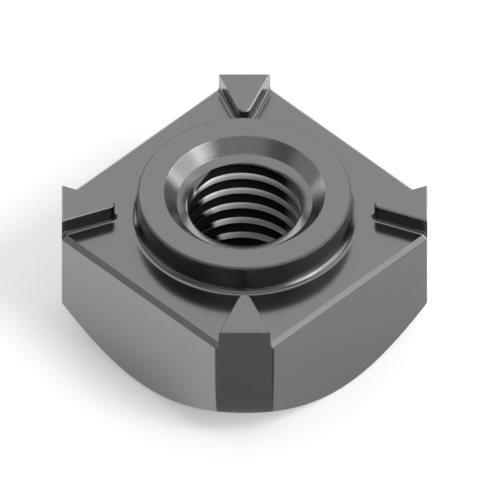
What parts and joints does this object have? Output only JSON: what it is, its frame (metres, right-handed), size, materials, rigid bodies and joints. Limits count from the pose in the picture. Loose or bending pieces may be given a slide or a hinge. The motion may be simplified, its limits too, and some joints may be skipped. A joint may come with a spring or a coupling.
{
  "type": "square weld nut",
  "caption": "Square weld nut with a metric M8 threaded hole, a round pilot collar and a weld projection on each cut corner.",
  "frame": {"origin": "centre of the flat underside, on the thread's axis", "axes": "+Z along the thread's axis, from the underside towards the pilot collar and the weld projections; X and Y square to the flats, with a corner on each diagonal"},
  "size_m": [0.018, 0.018, 0.01],
  "materials": {
    "steel": "plain dark steel with a satin sheen, slightly oiled, no plating"
  },
  "bodies": {
    "root": {"weld_nut": "steel"}
  },
  "joints": []
}
